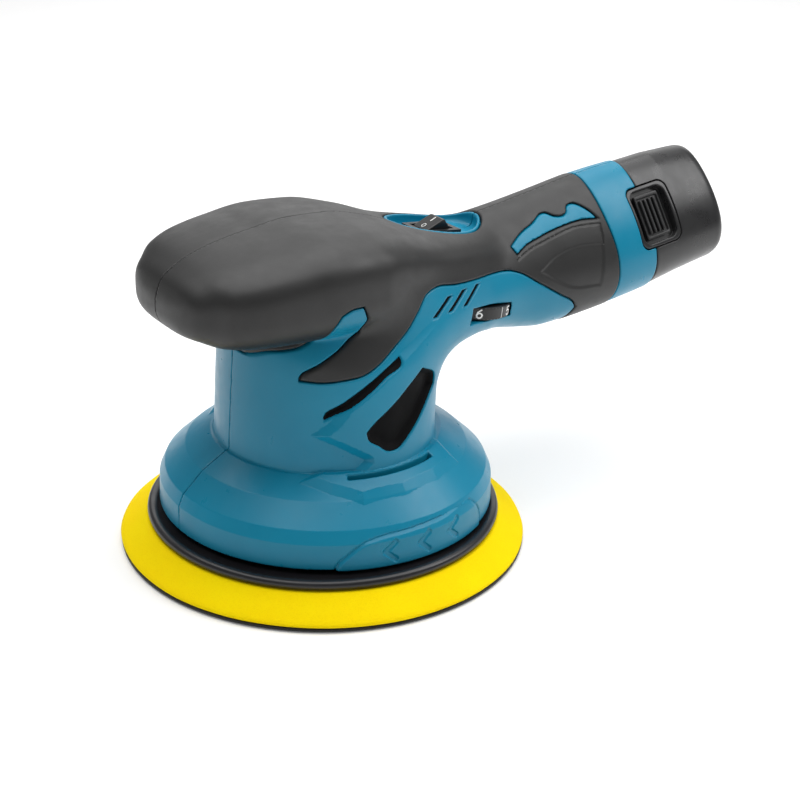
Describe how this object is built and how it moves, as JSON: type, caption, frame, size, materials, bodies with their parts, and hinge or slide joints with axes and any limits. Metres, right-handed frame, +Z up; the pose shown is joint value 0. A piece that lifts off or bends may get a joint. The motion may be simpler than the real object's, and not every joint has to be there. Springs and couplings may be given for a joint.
{
  "type": "dual action polisher",
  "caption": "Cordless dual action polisher: palm-grip body with a rear handle and slide-on battery, speed dial, rocker switch and an offset round foam pad that spins and orbits.",
  "frame": {"origin": "on the motor axis, in the plane of the working face under the pad", "axes": "+Z up along the motor axis, +X along the handle towards the battery, the vertical mid plane of the body is XZ"},
  "size_m": [0.2455, 0.1451, 0.12],
  "materials": {
    "blue_shell": "satin moulded plastic, metallic blue",
    "soft_grip": "matte soft-touch overmould",
    "black_steel": "blackened steel",
    "zinc": "zinc plated drawn steel",
    "black_plastic": "fine matte",
    "dial_black": "satin with white numbers",
    "rocker_black": "satin with white marks",
    "graphite": "pressed graphite",
    "cast_metal": "as cast",
    "steel": "ground",
    "brass": "satin",
    "copper": "turned copper",
    "board": "solder mask",
    "red_lead": "smooth insulation",
    "black_lead": "smooth insulation",
    "yellow_foam": "fine open-cell foam",
    "hook_face": "short dense pile",
    "battery_gloss": "smooth gloss",
    "cell_wrap": "shrink wrap"
  },
  "bodies": {
    "housing": {"housing_left": "blue_shell", "housing_right": "blue_shell", "grip_left": "soft_grip", "grip_right": "soft_grip", "housing_screw_1": "black_steel", "housing_screw_2": "black_steel", "housing_screw_3": "black_steel", "housing_screw_4": "black_steel", "housing_screw_5": "black_steel", "housing_screw_6": "black_steel", "motor_can": "zinc", "magnet_left": "black_steel", "magnet_right": "black_steel", "motor_end_cap": "black_plastic", "brush_left": "graphite", "brush_right": "graphite", "bearing_bracket": "cast_metal", "main_bearing_outer": "steel", "motor_screw_1": "black_steel", "motor_screw_2": "black_steel", "switch_body": "black_plastic", "potentiometer": "brass", "control_board": "board", "heat_sink": "cast_metal", "terminal_block": "black_plastic", "motor_lead_red": "red_lead", "motor_lead_black": "black_lead", "battery_lead_red": "red_lead", "battery_lead_black": "black_lead"},
    "drive": {"motor_shaft": "steel", "armature": "black_steel", "commutator": "copper", "eccentric_hub": "steel", "main_bearing_inner": "steel", "counterweight": "cast_metal", "cooling_fan": "black_plastic", "pad_bearing_outer": "steel", "retaining_ring": "black_steel"},
    "pad": {"pad_spindle": "steel", "pad_bearing_inner": "steel", "bearing_screw": "black_steel", "backing_plate": "black_plastic", "foam_pad": "yellow_foam", "hook_face": "hook_face"},
    "rocker": {"rocker": "rocker_black"},
    "dial": {"speed_dial": "dial_black"},
    "battery": {"battery_case": "battery_gloss", "battery_tower": "black_plastic", "cell_1": "cell_wrap", "cell_2": "cell_wrap", "cell_3": "cell_wrap", "contact_minus": "brass", "contact_plus": "brass"},
    "latch_left": {"latch_left": "black_plastic"},
    "latch_right": {"latch_right": "black_plastic"}
  },
  "joints": [
    {"name": "drive_spin", "type": "hinge", "parent": "housing", "child": "drive", "pos_m": [0, 0, 0.04], "axis": [0, 0, 1], "continuous": true},
    {"name": "pad_spin", "type": "hinge", "parent": "drive", "child": "pad", "pos_m": [-0.0028, -0.00285, 0.025], "axis": [0, 0, 1], "continuous": true},
    {"name": "rocker_tilt", "type": "hinge", "parent": "housing", "child": "rocker", "pos_m": [0.04344, 0, 0.1036], "axis": [0, 1, 0], "range_deg": [0, 18]},
    {"name": "dial_turn", "type": "hinge", "parent": "housing", "child": "dial", "pos_m": [0.051, -0.0096, 0.0796], "axis": [0.1392, 0, 0.9903], "range_deg": [-240, 0]},
    {"name": "battery_slide", "type": "slide", "parent": "housing", "child": "battery", "axis": [0.9925, 0, 0.1219], "range_m": [0, 0.065]},
    {"name": "latch_left_press", "type": "slide", "parent": "battery", "child": "latch_left", "axis": [0.0609, 0.866, -0.4963], "range_m": [0, 0.0012], "stiffness_N_per_m": 1500, "springref_m": -0.001},
    {"name": "latch_right_press", "type": "slide", "parent": "battery", "child": "latch_right", "axis": [0.0609, -0.866, -0.4963], "range_m": [0, 0.0012], "stiffness_N_per_m": 1500, "springref_m": -0.001}
  ]
}
